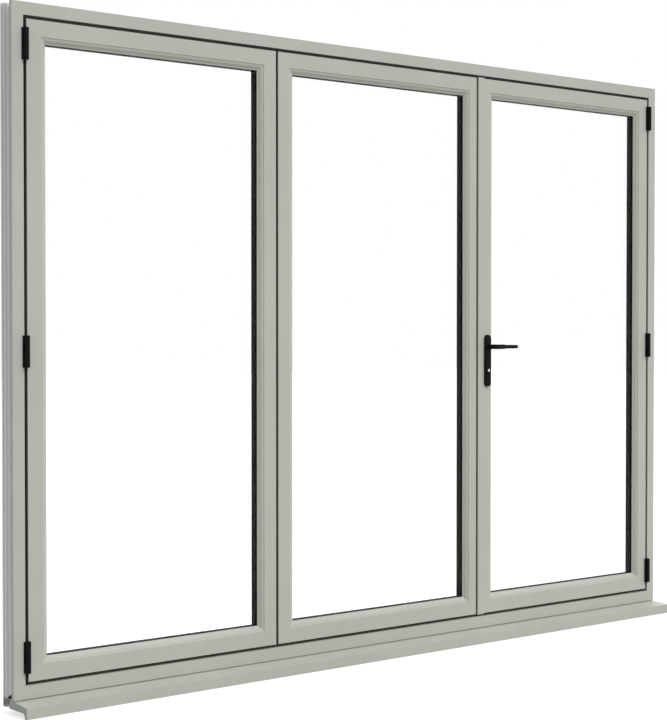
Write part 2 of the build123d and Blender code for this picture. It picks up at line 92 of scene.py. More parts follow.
class Axis(Enum):
    """The direction in which a profile is drawn out."""

    X = 0
    Y = 1
    Z = 2


class Side(Enum):
    """Which face of the door a piece of hardware stands on."""

    OUTSIDE = -1
    INSIDE = 1


def combine(tree: bpy.types.NodeTree, action: str, first: object, second: object) -> Socket:
    """Adds one sum on two values, each a number or a socket, to a tree of nodes."""
    node = tree.nodes.new("ShaderNodeMath")
    node.operation = action
    for socket, value in zip(node.inputs, (first, second)):
        if isinstance(value, (int, float)):
            socket.default_value = value
        else:
            tree.links.new(value, socket)
    return node.outputs[0]


class Graph:
    """A material's nodes, with short calls for the ones that these finishes use."""

    def __init__(self, label: str) -> None:
        """Starts an empty material with a name."""
        self.material = bpy.data.materials.new(label)
        self.material.use_nodes = True
        self.tree = self.material.node_tree
        self.tree.nodes.clear()
        self.output = self.node("OutputMaterial")
        self.place = self.node("TexCoord").outputs["Object"]

    def node(self, kind: str) -> Node:
        """Adds a node of one kind."""
        return self.tree.nodes.new(f"ShaderNode{kind}")

    def link(self, source: Socket, target: Socket) -> None:
        """Joins two sockets."""
        self.tree.links.new(source, target)

    def along(self, axis: Axis) -> Socket:
        """The object's coordinate along one axis."""
        node = self.node("SeparateXYZ")
        self.link(self.place, node.inputs[0])
        return node.outputs[axis.value]

    def shader(self, rough: float, **sockets: float | Colour) -> Node:
        """Adds the main shader and joins it to the surface.

        Args:
            rough: Its roughness where no pattern changes it.
            **sockets: Values for its other sockets, with spaces written as underscores.

        Returns:
            The shader node.
        """
        node = self.node("BsdfPrincipled")
        node.inputs["Roughness"].default_value = rough
        for name, value in sockets.items():
            socket = node.inputs[name.replace("_", " ")]
            socket.default_value = (*value, 1.0) if isinstance(value, tuple) else value
        self.link(node.outputs[0], self.output.inputs["Surface"])
        return node

    def stretched(self, scale: Point) -> Socket:
        """The object's coordinates, scaled by a different amount along each axis."""
        node = self.node("Mapping")
        node.inputs["Scale"].default_value = scale
        self.link(self.place, node.inputs["Vector"])
        return node.outputs[0]

    def noise(self, scale: float, detail: float = 2.0, place: Socket | None = None) -> Socket:
        """Adds a noise pattern.

        Args:
            scale: How many waves it has in a metre.
            detail: How many finer layers it has.
            place: Coordinates to read, or None for the object's own.

        Returns:
            The socket with values about 0.5.
        """
        node = self.node("TexNoise")
        node.inputs["Scale"].default_value = scale
        node.inputs["Detail"].default_value = detail
        self.link(place or self.place, node.inputs["Vector"])
        return node.outputs["Fac"]

    def spread(self, value: Socket, low: float, high: float, ends: Pair = (0.3, 0.7)) -> Socket:
        """Maps a pattern's values between two ends to low and high."""
        node = self.node("MapRange")
        numbers = {"From Min": ends[0], "From Max": ends[1], "To Min": low, "To Max": high}
        for name, number in numbers.items():
            node.inputs[name].default_value = number
        self.link(value, node.inputs["Value"])
        return node.outputs[0]

    def blend(self, share: Socket, first: object, second: object) -> Socket:
        """Mixes two colours, each a plain colour or a socket, by a share from 0 to 1."""
        node = self.node("Mix")
        node.data_type = "RGBA"
        self.link(share, node.inputs[0])
        for socket, value in ((node.inputs[6], first), (node.inputs[7], second)):
            if isinstance(value, tuple):
                socket.default_value = (*value, 1.0)
            else:
                self.link(value, socket)
        return node.outputs[2]

    def math(self, action: str, first: object, second: object = 0.0) -> Socket:
        """Adds one sum on two values, each a number or a socket."""
        return combine(self.tree, action, first, second)

    def choose(self, mask: Socket, outside: Socket, inside: Socket) -> Socket:
        """A level that is one value where a mask is 0 and another where it is 1."""
        kept = self.math("MULTIPLY", outside, self.math("SUBTRACT", 1.0, mask))
        return self.math("ADD", kept, self.math("MULTIPLY", inside, mask))

    def scaled(self, colour: Socket, level: Socket) -> Socket:
        """A colour made darker or lighter by a level."""
        node = self.node("VectorMath")
        node.operation = "SCALE"
        self.link(colour, node.inputs[0])
        self.link(level, node.inputs["Scale"])
        return node.outputs[0]

    def bump(self, height: Socket, depth: float, target: Node, strength: float = 1.0) -> None:
        """Gives a shader relief from a pattern that stands a depth high where it is 1."""
        node = self.node("Bump")
        node.inputs["Strength"].default_value = strength
        node.inputs["Distance"].default_value = depth
        self.link(height, node.inputs["Height"])
        self.link(node.outputs[0], target.inputs["Normal"])

    def steps(self, value: Socket, stops: tuple[Pair, ...], blur: float) -> Socket:
        """Turns a place along one axis into a level that changes at each stop.

        Args:
            value: The place, in metres.
            stops: Each stop's place and the level from there on, in rising order.
            blur: Over what distance a level changes.

        Returns:
            The level.
        """
        level = None
        for place, amount in stops:
            if level is None:
                level, before = amount, amount
                continue
            rise = self.spread(value, 0.0, amount - before, (place - blur / 2, place + blur / 2))
            level, before = self.math("ADD", rise, level), amount
        return level

    def inside(self, low: Point, high: Point) -> Socket:
        """A mask that is 1 in a box of the object's coordinates and 0 outside it."""
        mask = None
        for axis, least, most in zip(Axis, low, high):
            value = self.along(axis)
            over = self.math("GREATER_THAN", value, least)
            under = self.math("LESS_THAN", value, most)
            both = self.math("MULTIPLY", over, under)
            mask = both if mask is None else self.math("MULTIPLY", mask, both)
        return mask

    def finish(self, shader: Node, colour: Socket, pattern: Socket, rough: Pair, relief: float) -> None:
        """Joins a colour to a shader, and one pattern's roughness and relief."""
        self.link(colour, shader.inputs["Base Color"])
        self.link(self.spread(pattern, *rough), shader.inputs["Roughness"])
        self.bump(pattern, relief, shader)


@dataclass(frozen=True)
class BareZone:
    """The box in which a painted profile was masked off and is bare metal."""

    low: Point
    high: Point


@dataclass(frozen=True)
class PowderCoat:
    """Satin powder coat with a faint orange peel, over a profile that may be bare on its wall side."""

    colour: Colour = linear(171, 174, 164)
    bare_colour: Colour = linear(197, 197, 198)
    rough: float = 0.32
    rough_change: float = 0.03
    shine: float = 0.5
    peel_scale: float = 700.0
    peel_depth: float = 0.02 * MM
    speck_share: float = 0.12
    tone_scale: float = 3.0
    tone_change: float = 0.035
    line_scale: float = 900.0
    line_stretch: float = 1.5
    bare_light: float = 1.12
    bare_dark: float = 0.86
    bare_rough: Pair = (0.42, 0.3)
    bare_metallic: float = 0.55
    # Painted shade and light on the bare metal, as a level from each depth on: darker over the groove's
    # back slope from 44.7 mm, lighter from 55 mm
    bare_painted_shading: tuple[Pair, ...] = (
        (0.0, 0.92),
        (44.7 * MM, 0.70),
        (50.0 * MM, 0.90),
        (55.0 * MM, 1.14),
    )

    @staticmethod
    def tones(colour: Colour, dark: float, light: float) -> tuple[Colour, Colour]:
        """A darker and a lighter tone of a colour."""
        return tuple(c * dark for c in colour), tuple(min(1.0, c * light) for c in colour)

    def bare_metal(self, graph: Graph, along: Axis) -> tuple[Socket, Socket]:
        """Makes the drawn metal's colour, with painted shade and light in bands by depth, and the pattern
        of its lines, which run along the profile.
        """
        scale = [self.line_scale] * 3
        scale[along.value] = self.line_stretch
        lines = graph.noise(1.0, 2.0, graph.stretched(tuple(scale)))
        dull, bright = self.tones(self.bare_colour, self.bare_dark, self.bare_light)
        metal = graph.blend(graph.spread(lines, 0.0, 1.0), dull, bright)
        # The bare metal is darkened and lightened by depth, as painted shade and light
        return graph.scaled(metal, graph.steps(graph.along(Axis.Y), self.bare_painted_shading, MM)), lines

    def material(self, label: str, along: Axis, bare: BareZone | None = None) -> Material:
        """Makes the finish for one profile.

        Args:
            label: The material's name.
            along: The direction in which the profile was drawn.
            bare: Where the profile is bare metal, or None.

        Returns:
            The material.
        """
        graph = Graph(label)
        shader = graph.shader(self.rough, Specular_IOR_Level=self.shine)
        darker, lighter = self.tones(self.colour, 1 - self.tone_change, 1 + self.tone_change)
        paint = graph.blend(graph.spread(graph.noise(self.tone_scale, 3.0), 0.0, 1.0), darker, lighter)
        speck = graph.noise(self.peel_scale * 2, 1.0)
        paint = graph.blend(graph.spread(speck, 0.0, self.speck_share), paint, lighter)
        relief = graph.noise(self.peel_scale, 2.0)
        rough = graph.spread(relief, self.rough - self.rough_change, self.rough + self.rough_change)
        if bare:
            mask = graph.inside(bare.low, bare.high)
            metal, lines = self.bare_metal(graph, along)
            paint = graph.blend(mask, paint, metal)
            rough = graph.choose(mask, rough, graph.spread(lines, *self.bare_rough))
            relief = graph.choose(mask, relief, lines)
            graph.link(graph.math("MULTIPLY", mask, self.bare_metallic), shader.inputs["Metallic"])
        graph.link(paint, shader.inputs["Base Color"])
        graph.link(rough, shader.inputs["Roughness"])
        graph.bump(relief, self.peel_depth, shader)
        return graph.material


@dataclass(frozen=True)
class Grained:
    """A dull finish with a fine grain in its colour, its roughness and its relief."""

    colour: Colour
    grain: Colour
    grain_share: float
    grain_scale: float
    grain_detail: float
    rough: float
    rough_change: Pair
    shine: float
    relief: float

    def cover(self, graph: Graph, holes: Socket | None = None) -> Material:
        """Makes the finish.

        Args:
            graph: The material's nodes.
            holes: A mask of the holes, which have the grain's colour, or None.

        Returns:
            The material.
        """
        shader = graph.shader(self.rough, Specular_IOR_Level=self.shine)
        pattern = graph.noise(self.grain_scale, self.grain_detail)
        colour = graph.blend(graph.spread(pattern, 0.0, self.grain_share), self.colour, self.grain)
        if holes is not None:
            colour = graph.blend(holes, colour, self.grain)
        rough = (self.rough + self.rough_change[0], self.rough + self.rough_change[1])
        graph.finish(shader, colour, pattern, rough, self.relief)
        return graph.material

    def material(self, label: str) -> Material:
        """Makes the finish without holes."""
        return self.cover(Graph(label))


@dataclass(frozen=True)
class SatinBlack(Grained):
    """Black powder coat on the hinges and the handle set."""

    colour: Colour = linear(13, 14, 13)
    grain: Colour = linear(25, 26, 25)
    grain_share: float = 0.6
    grain_scale: float = 1400.0
    grain_detail: float = 2.0
    rough: float = 0.42
    rough_change: Pair = (-0.05, 0.07)
    shine: float = 0.06
    relief: float = 0.02 * MM


@dataclass(frozen=True)
class Rubber(Grained):
    """Dull sealing rubber with a faint bloom, black unless other colours are given."""

    colour: Colour = linear(44, 46, 43)
    grain: Colour = linear(56, 58, 54)
    grain_share: float = 0.7
    grain_scale: float = 500.0
    grain_detail: float = 3.0
    rough: float = 0.78
    rough_change: Pair = (-0.08, 0.08)
    shine: float = 0.1
    relief: float = 0.04 * MM


@dataclass(frozen=True)
class WarmEdge(Grained):
    """Dark composite spacer between the panes, with its two rows of fine breather holes."""

    colour: Colour = linear(13, 13, 13)
    grain: Colour = linear(5, 5, 5)
    grain_share: float = 0.15
    grain_scale: float = 900.0
    grain_detail: float = 2.0
    rough: float = 0.6
    rough_change: Pair = (-0.08, 0.08)
    shine: float = 0.08
    relief: float = 0.03 * MM
    hole_pitch: float = 4.0 * MM
    hole_share: float = 0.3
    hole_row: float = 4.0 * MM
    hole_half_width: float = 0.4 * MM

    def perforated(self, label: str, middle: float) -> Material:
        """Makes the finish with its holes, on both sides of the depth of the spacer's middle."""
        graph = Graph(label)
        run = graph.math("ADD", graph.along(Axis.X), graph.along(Axis.Z))
        step = graph.math("FRACT", graph.math("DIVIDE", run, self.hole_pitch))
        across = graph.math("ABSOLUTE", graph.math("SUBTRACT", graph.along(Axis.Y), middle))
        from_row = graph.math("ABSOLUTE", graph.math("SUBTRACT", across, self.hole_row))
        row = graph.math("LESS_THAN", from_row, self.hole_half_width)
        holes = graph.math("MULTIPLY", graph.math("LESS_THAN", step, self.hole_share), row)
        return self.cover(graph, holes)


@dataclass(frozen=True)
class ClearGlass:
    """Low-iron glass that lets the lamps through."""

    tint: Colour = (0.998, 1.0, 0.999)
    rough: float = 0.0
    refraction: float = 1.14
    ripple_scale: float = 6.0
    ripple_depth: float = 0.02 * MM
    ripple_strength: float = 0.3

    def material(self, label: str) -> Material:
        """Makes the finish."""
        graph = Graph(label)
        look = {"Base_Color": self.tint, "Transmission_Weight": 1.0, "IOR": self.refraction}
        shader = graph.shader(self.rough, **look)
        graph.bump(graph.noise(self.ripple_scale, 1.0), self.ripple_depth, shader, self.ripple_strength)
        clear = graph.node("BsdfTransparent")
        clear.inputs["Color"].default_value = (*self.tint, 1.0)
        ray = graph.node("LightPath")
        mix = graph.node("MixShader")
        graph.link(ray.outputs["Is Shadow Ray"], mix.inputs[0])
        graph.link(shader.outputs[0], mix.inputs[1])
        graph.link(clear.outputs[0], mix.inputs[2])
        graph.link(mix.outputs[0], graph.output.inputs["Surface"])
        return graph.material


@dataclass(frozen=True)
class TurnedMetal:
    """Machined metal with fine lines round or along it."""

    colour: Colour
    rough: float = 0.3
    metallic: float = 1.0
    line_scale: float = 2500.0
    line_length: float = 30.0
    dull_share: float = 0.85
    rough_change: Pair = (-0.06, 0.08)
    relief: float = 0.01 * MM

    def material(self, label: str) -> Material:
        """Makes the finish."""
        graph = Graph(label)
        shader = graph.shader(self.rough, Metallic=self.metallic)
        scale = (self.line_scale, self.line_scale / self.line_length, self.line_scale)
        lines = graph.noise(1.0, 2.0, graph.stretched(scale))
        dull = tuple(c * self.dull_share for c in self.colour)
        colour = graph.blend(graph.spread(lines, 0.0, 1.0), dull, self.colour)
        rough = (self.rough + self.rough_change[0], self.rough + self.rough_change[1])
        graph.finish(shader, colour, lines, rough, self.relief)
        return graph.material


def dress(piece: Piece, material: Material) -> None:
    """Gives a piece one material."""
    piece.data.materials.clear()
    piece.data.materials.append(material)


@dataclass
class OuterFrame:
    """The frame's four bars and the sill, painted outside and bare towards the wall."""

    nodes: dict[str, Piece]
    paint: PowderCoat = field(default_factory=PowderCoat)
    # The sill's end caps have a darker copy of the frame paint, which is painted shade
    shaded_cap_paint: PowderCoat = field(default_factory=lambda: PowderCoat(colour=linear(140, 146, 137)))
    painted_return: float = 14.2 * MM
    groove_depth: float = 12.8 * MM
    rear_margin: float = 0.4 * MM
    sill_box_back: float = 30.2 * MM

    def bare_zone(self, name: str, axis: Axis, outwards: int) -> BareZone:
        """Works out the grooved wall side of a frame bar, which stays bare.

        Args:
            name: The bar's node.
            axis: The axis that points to the wall.
            outwards: 1 if the wall is on the axis's positive side, or -1.

        Returns:
            The box that is bare.
        """
        low, high = (list(corner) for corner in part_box(name))
        low[Axis.Y.value] += self.painted_return
        high[Axis.Y.value] -= self.rear_margin
        for index in (Axis.X.value, Axis.Z.value):
            low[index] -= self.groove_depth
            high[index] += self.groove_depth
        if outwards > 0:
            low[axis.value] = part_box(name)[1][axis.value] - self.groove_depth
        else:
            high[axis.value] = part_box(name)[0][axis.value] + self.groove_depth
        return BareZone(tuple(low), tuple(high))

    def build(self) -> None:
        """Dresses the frame's bars, the sill and the sill's ends."""
        bars = (
            ("left_jamb", Axis.X, -1, Axis.Z),
            ("right_jamb", Axis.X, 1, Axis.Z),
            ("head", Axis.Z, 1, Axis.X),
            ("threshold", Axis.Z, -1, Axis.X),
        )
        for name, wall_axis, outwards, along in bars:
            zone = self.bare_zone(name, wall_axis, outwards)
            dress(self.nodes[name], self.paint.material(f"{name}_paint", along, zone))
        low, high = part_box("sill")
        zone = BareZone((low.x, self.sill_box_back, low.z), (high.x, high.y + MM, high.z + MM))
        dress(self.nodes["sill"], self.paint.material("sill_paint", Axis.X, zone))
        # Painted shade: the end caps take the darker copy of the paint
        dress(self.nodes["sill_end_caps"], self.shaded_cap_paint.material("sill_end_cap_shaded_paint", Axis.Y))
        log.info("outer frame and sill dressed")


@dataclass
class GlazedLeaf:
    """One leaf, its mitred bars, bead, glass, spacer and rubber."""

    nodes: dict[str, Piece]
    name: str
    paint: PowderCoat = field(default_factory=PowderCoat)
    rubber: Rubber = field(default_factory=Rubber)
    spacer: WarmEdge = field(default_factory=WarmEdge)
    glass: ClearGlass = field(default_factory=ClearGlass)

    def build(self) -> None:
        """Dresses every node of the leaf."""
        for part in ("left_stile", "right_stile", "top_rail", "bottom_rail", "bead"):
            along = Axis.X if part.endswith("rail") else Axis.Z
            node = f"{self.name}_{part}"
            dress(self.nodes[node], self.paint.material(f"{node}_paint", along))
        dress(self.nodes[f"{self.name}_gaskets"], self.rubber.material(f"{self.name}_rubber"))
        low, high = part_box(f"{self.name}_spacer")
        spacer = self.spacer.perforated(f"{self.name}_spacer_bar", (low.y + high.y) / 2)
        dress(self.nodes[f"{self.name}_spacer"], spacer)
        dress(self.nodes[f"{self.name}_glass"], self.glass.material(f"{self.name}_clear_glass"))
        log.info("%s dressed", self.name)


@dataclass
class Studio:
    """Camera, lamps, floor and surroundings at the photograph's viewing angle."""

    lens: float = 82.985
    sight: float = 200.0
    camera_place: Point = (-3.9447, -4.5426, 1.1743)
    yaw: float = math.radians(39.23)
    pitch: float = math.radians(1.1375)
    level: float = 0.63
    least: float = 0.08
    side_slope: float = 0.75
    front_slope: float = -0.45
    up_slope: float = 0.75
    key_strength: float = 0.58
    key_direction: Point = (0.15, -0.72, 0.68)
    key_softness: float = math.radians(14)
    floor_height: float = -0.0175
    floor_size: float = 60.0
    floor_colour: Colour = (0.4, 0.4, 0.4)
    floor_glow: float = 0.66

    def camera(self) -> None:
        """Places the camera where the photograph was taken from."""
        data = bpy.data.cameras.new("camera")
        data.lens = self.lens
        data.clip_end = self.sight
        eye = bpy.data.objects.new("camera", data)
        bpy.context.scene.collection.objects.link(eye)
        eye.location = self.camera_place
        eye.rotation_euler = (math.pi / 2 - self.pitch, 0.0, -self.yaw)
        bpy.context.scene.camera = eye

    def seen_directly(self, tree: bpy.types.NodeTree) -> Socket:
        """A value of 1 for rays that show the background, straight, mirrored or through glass."""
        ray = tree.nodes.new("ShaderNodeLightPath")
        total = ray.outputs["Is Camera Ray"]
        for name in ("Is Glossy Ray", "Is Transmission Ray"):
            total = combine(tree, "MAXIMUM", total, ray.outputs[name])
        return total

    def surroundings(self) -> None:
        """Makes soft light that is stronger from the right and from above, seen as white."""
        world = bpy.data.worlds.new("studio")
        bpy.context.scene.world = world
        world.use_nodes = True
        tree = world.node_tree
        tree.nodes.clear()
        place = tree.nodes.new("ShaderNodeTexCoord")
        slope = tree.nodes.new("ShaderNodeVectorMath")
        slope.operation = "DOT_PRODUCT"
        slope.inputs[1].default_value = (self.side_slope, -self.front_slope, self.up_slope)
        tree.links.new(place.outputs["Generated"], slope.inputs[0])
        total = combine(tree, "ADD", slope.outputs["Value"], self.level)
        light = tree.nodes.new("ShaderNodeBackground")
        tree.links.new(combine(tree, "MAXIMUM", total, self.least), light.inputs["Strength"])
        white = tree.nodes.new("ShaderNodeBackground")
        for background in (light, white):
            background.inputs["Color"].default_value = (1.0, 1.0, 1.0, 1.0)
        mix = tree.nodes.new("ShaderNodeMixShader")
        tree.links.new(self.seen_directly(tree), mix.inputs[0])
        tree.links.new(light.outputs[0], mix.inputs[1])
        tree.links.new(white.outputs[0], mix.inputs[2])
        output = tree.nodes.new("ShaderNodeOutputWorld")
        tree.links.new(mix.outputs[0], output.inputs["Surface"])

    def lamp(self) -> None:
        """Adds the soft key lamp, above the camera and a little to its right."""
        data = bpy.data.lights.new("key", "SUN")
        data.energy = self.key_strength * math.pi
        data.angle = self.key_softness
        key = bpy.data.objects.new("key", data)
        bpy.context.scene.collection.objects.link(key)
        key.rotation_mode = "QUATERNION"
        key.rotation_quaternion = Vector(self.key_direction).to_track_quat("Z", "Y")

    def floor(self) -> None:
        """Lays a pale floor that keeps the door's shadow and shows white around it."""
        bpy.ops.mesh.primitive_plane_add(size=self.floor_size, location=(0, 0, self.floor_height))
        ground = bpy.context.object
        ground.name = "floor"
        graph = Graph("pale_floor")
        diffuse = graph.node("BsdfDiffuse")
        diffuse.inputs["Color"].default_value = (*self.floor_colour, 1.0)
        glow = graph.node("Emission")
        share = self.seen_directly(graph.tree)
        graph.link(graph.math("MULTIPLY", share, self.floor_glow), glow.inputs["Strength"])
        both = graph.node("AddShader")
        graph.link(diffuse.outputs[0], both.inputs[0])
        graph.link(glow.outputs[0], both.inputs[1])
        graph.link(both.outputs[0], graph.output.inputs["Surface"])
        ground.data.materials.append(graph.material)

    def build(self) -> None:
        """Makes the whole studio."""
        self.camera()
        self.surroundings()
        self.lamp()
        self.floor()
        bpy.context.scene.view_settings.view_transform = "Standard"
        log.info("studio ready")


class Bench:
    """Short calls for shaping a mesh by hand, each on one piece."""

    @staticmethod
    def hold(*pieces: Piece) -> None:
        """Selects some pieces and nothing else, with the first one active."""
        bpy.ops.object.select_all(action="DESELECT")
        for piece in pieces:
            piece.select_set(True)
        bpy.context.view_layer.objects.active = pieces[0]

    @staticmethod
    def change(piece: Piece, kind: str, **settings: object) -> None:
        """Adds a modifier with its settings to a piece and applies it."""
        modifier = piece.modifiers.new(kind.lower(), kind)
        for name, value in settings.items():
            setattr(modifier, name, value)
        bpy.context.view_layer.objects.active = piece
        bpy.ops.object.modifier_apply(modifier=modifier.name)

    @staticmethod
    def settle(piece: Piece) -> None:
        """Puts a piece's place, turn and size into its mesh."""
        Bench.hold(piece)
        bpy.ops.object.transform_apply(location=True, rotation=True, scale=True)

    @staticmethod
    def rod(name: str, radius: float, low: Point, high: Point, sides: int = 48) -> Piece:
        """Adds a round rod from one point to another.

        Args:
            name: The piece's name.
            radius: The rod's radius.
            low: The middle of one end.
            high: The middle of the other end.
            sides: How many sides it has.

        Returns:
            The piece.
        """
        run = Vector(high) - Vector(low)
        turn = run.to_track_quat("Z", "Y").to_euler()
        middle = (Vector(low) + Vector(high)) / 2
        bpy.ops.object.select_all(action="DESELECT")
        bpy.ops.mesh.primitive_cylinder_add(
            vertices=sides, radius=radius, depth=run.length, location=middle, rotation=turn
        )
        piece = bpy.context.object
        piece.name = name
        Bench.settle(piece)
        return piece

    @staticmethod
    def block(name: str, low: Point, high: Point) -> Piece:
        """Adds a block between its lowest and its highest corner."""
        middle = (Vector(low) + Vector(high)) / 2
        bpy.ops.object.select_all(action="DESELECT")
        bpy.ops.mesh.primitive_cube_add(size=1.0, location=middle)
        piece = bpy.context.object
        piece.name = name
        piece.scale = Vector(high) - Vector(low)
        Bench.settle(piece)
        return piece

    @staticmethod
    def pick(piece: Piece, kind: str, wanted: Callable[[Vector, Vector], bool]) -> None:
        """Goes into edit mode with the faces, edges or points selected that pass a test.

        Args:
            piece: The piece.
            kind: FACE, EDGE or VERT.
            wanted: Takes a place and a normal, or an edge's run, and says whether to select.
        """
        Bench.hold(piece)
        bpy.ops.object.mode_set(mode="EDIT")
        bpy.ops.mesh.select_mode(type=kind)
        bpy.ops.mesh.select_all(action="DESELECT")
        mesh = bmesh.from_edit_mesh(piece.data)
        mesh.normal_update()
        if kind == "FACE":
            for face in mesh.faces:
                face.select_set(wanted(face.calc_center_median(), face.normal))
        elif kind == "EDGE":
            for edge in mesh.edges:
                middle = (edge.verts[0].co + edge.verts[1].co) / 2
                run = (edge.verts[1].co - edge.verts[0].co).normalized()
                edge.select_set(wanted(middle, run))
        else:
            for point in mesh.verts:
                point.select_set(wanted(point.co, point.normal))
        mesh.select_flush_mode()
        bmesh.update_edit_mesh(piece.data)

    @staticmethod
    def leave() -> None:
        """Goes back to object mode."""
        bpy.ops.object.mode_set(mode="OBJECT")

    @staticmethod
    def round_edges(piece: Piece, width: float, segments: int = 3, angle: float = math.radians(40)) -> None:
        """Rounds every edge sharper than an angle to a width, with some faces across."""
        limit = {"limit_method": "ANGLE", "angle_limit": angle}
        Bench.change(piece, "BEVEL", width=width, segments=segments, harden_normals=False, **limit)

    @staticmethod
    def cut(piece: Piece, tool: Piece, action: str = "DIFFERENCE") -> None:
        """Cuts one piece with another, or joins them into one solid, and removes the tool."""
        Bench.change(piece, "BOOLEAN", operation=action, solver="EXACT", object=tool)
        bpy.data.objects.remove(tool)

    @staticmethod
    def join(name: str, pieces: list[Piece]) -> Piece:
        """Joins pieces into one mesh with a name of its own."""
        Bench.hold(*pieces)
        bpy.ops.object.join()
        pieces[0].name = name
        return pieces[0]

    @staticmethod
    def smooth(piece: Piece, angle: float = math.radians(35)) -> None:
        """Shades a piece smooth where its faces meet at less than an angle."""
        Bench.hold(piece)
        bpy.ops.object.shade_smooth_by_angle(angle=angle)


def fit(piece: Piece, body: str, slot: str, material: Material, *stands_for: str) -> None:
    """Finishes a new piece: its material, its body and the nodes that it stands for."""
    dress(piece, material)
    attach(piece, body)
    if stands_for:
        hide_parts(*stands_for)
    log.info("%s rides on %s", piece.name, body)


@dataclass
class FrameSeals:
    """Two curved rubber lips round the frame's opening, which close the gap to the leaves."""

    body: str
    rubber: Material
    outer_start: float = 14.0 * MM
    inner_start: float = 60.0 * MM
    root: float = 0.5 * MM
    thickness: float = 1.2 * MM
    rounding: float = 0.3 * MM
    sharp: float = math.radians(60)
    curve: tuple[Pair, ...] = (
        (3.0 * MM, 0.4 * MM),
        (6.2 * MM, 2.2 * MM),
        (8.4 * MM, 5.0 * MM),
        (9.7 * MM, 8.4 * MM),
    )

    def lip(self, name: str, start: float, way: int) -> Piece:
        """Draws a rectangle out into a lip that leans along the gap.

        Args:
            name: The piece's name.
            start: The depth at which the lip leaves the frame.
            way: 1 if it leans inwards, or -1.

        Returns:
            The piece.
        """
        left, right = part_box("left_jamb")[1].x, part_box("right_jamb")[0].x
        bottom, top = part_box("threshold")[1].z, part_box("head")[0].z
        x, z = (left + right) / 2, (bottom + top) / 2
        wide, tall = right - left + 2 * self.root, top - bottom + 2 * self.root
        bpy.ops.mesh.primitive_plane_add(size=1.0, location=(x, start, z), rotation=(math.pi / 2, 0, 0))
        piece = bpy.context.object
        piece.name = name
        piece.scale = (wide, tall, 1.0)
        Bench.settle(piece)
        Bench.pick(piece, "EDGE", lambda place, run: True)
        bpy.ops.mesh.delete(type="ONLY_FACE")
        bpy.ops.mesh.select_all(action="SELECT")
        reached, bent = -self.root, 0.0
        for reach, bend in self.curve:
            step = 2 * (reach - reached)
            bpy.ops.mesh.extrude_region_move(TRANSFORM_OT_translate={"value": (0, way * (bend - bent), 0)})
            scale = (1 - step / wide, 1.0, 1 - step / tall)
            bpy.ops.transform.resize(value=scale, center_override=(x, start + way * bend, z))
            wide, tall, reached, bent = wide - step, tall - step, reach, bend
        bpy.ops.mesh.select_all(action="SELECT")
        bpy.ops.mesh.normals_make_consistent(inside=False)
        Bench.leave()
        Bench.change(piece, "SOLIDIFY", thickness=self.thickness, offset=0.0, use_even_offset=True)
        Bench.round_edges(piece, self.rounding, 2, self.sharp)
        Bench.smooth(piece)
        return piece

    def build(self) -> None:
        """Makes the outer and the inner lip."""
        lips = (("frame_outer_seal", self.outer_start, 1), ("frame_inner_seal", self.inner_start, -1))
        for name, start, way in lips:
            fit(self.lip(name, start, way), self.body, "black_rubber", self.rubber)


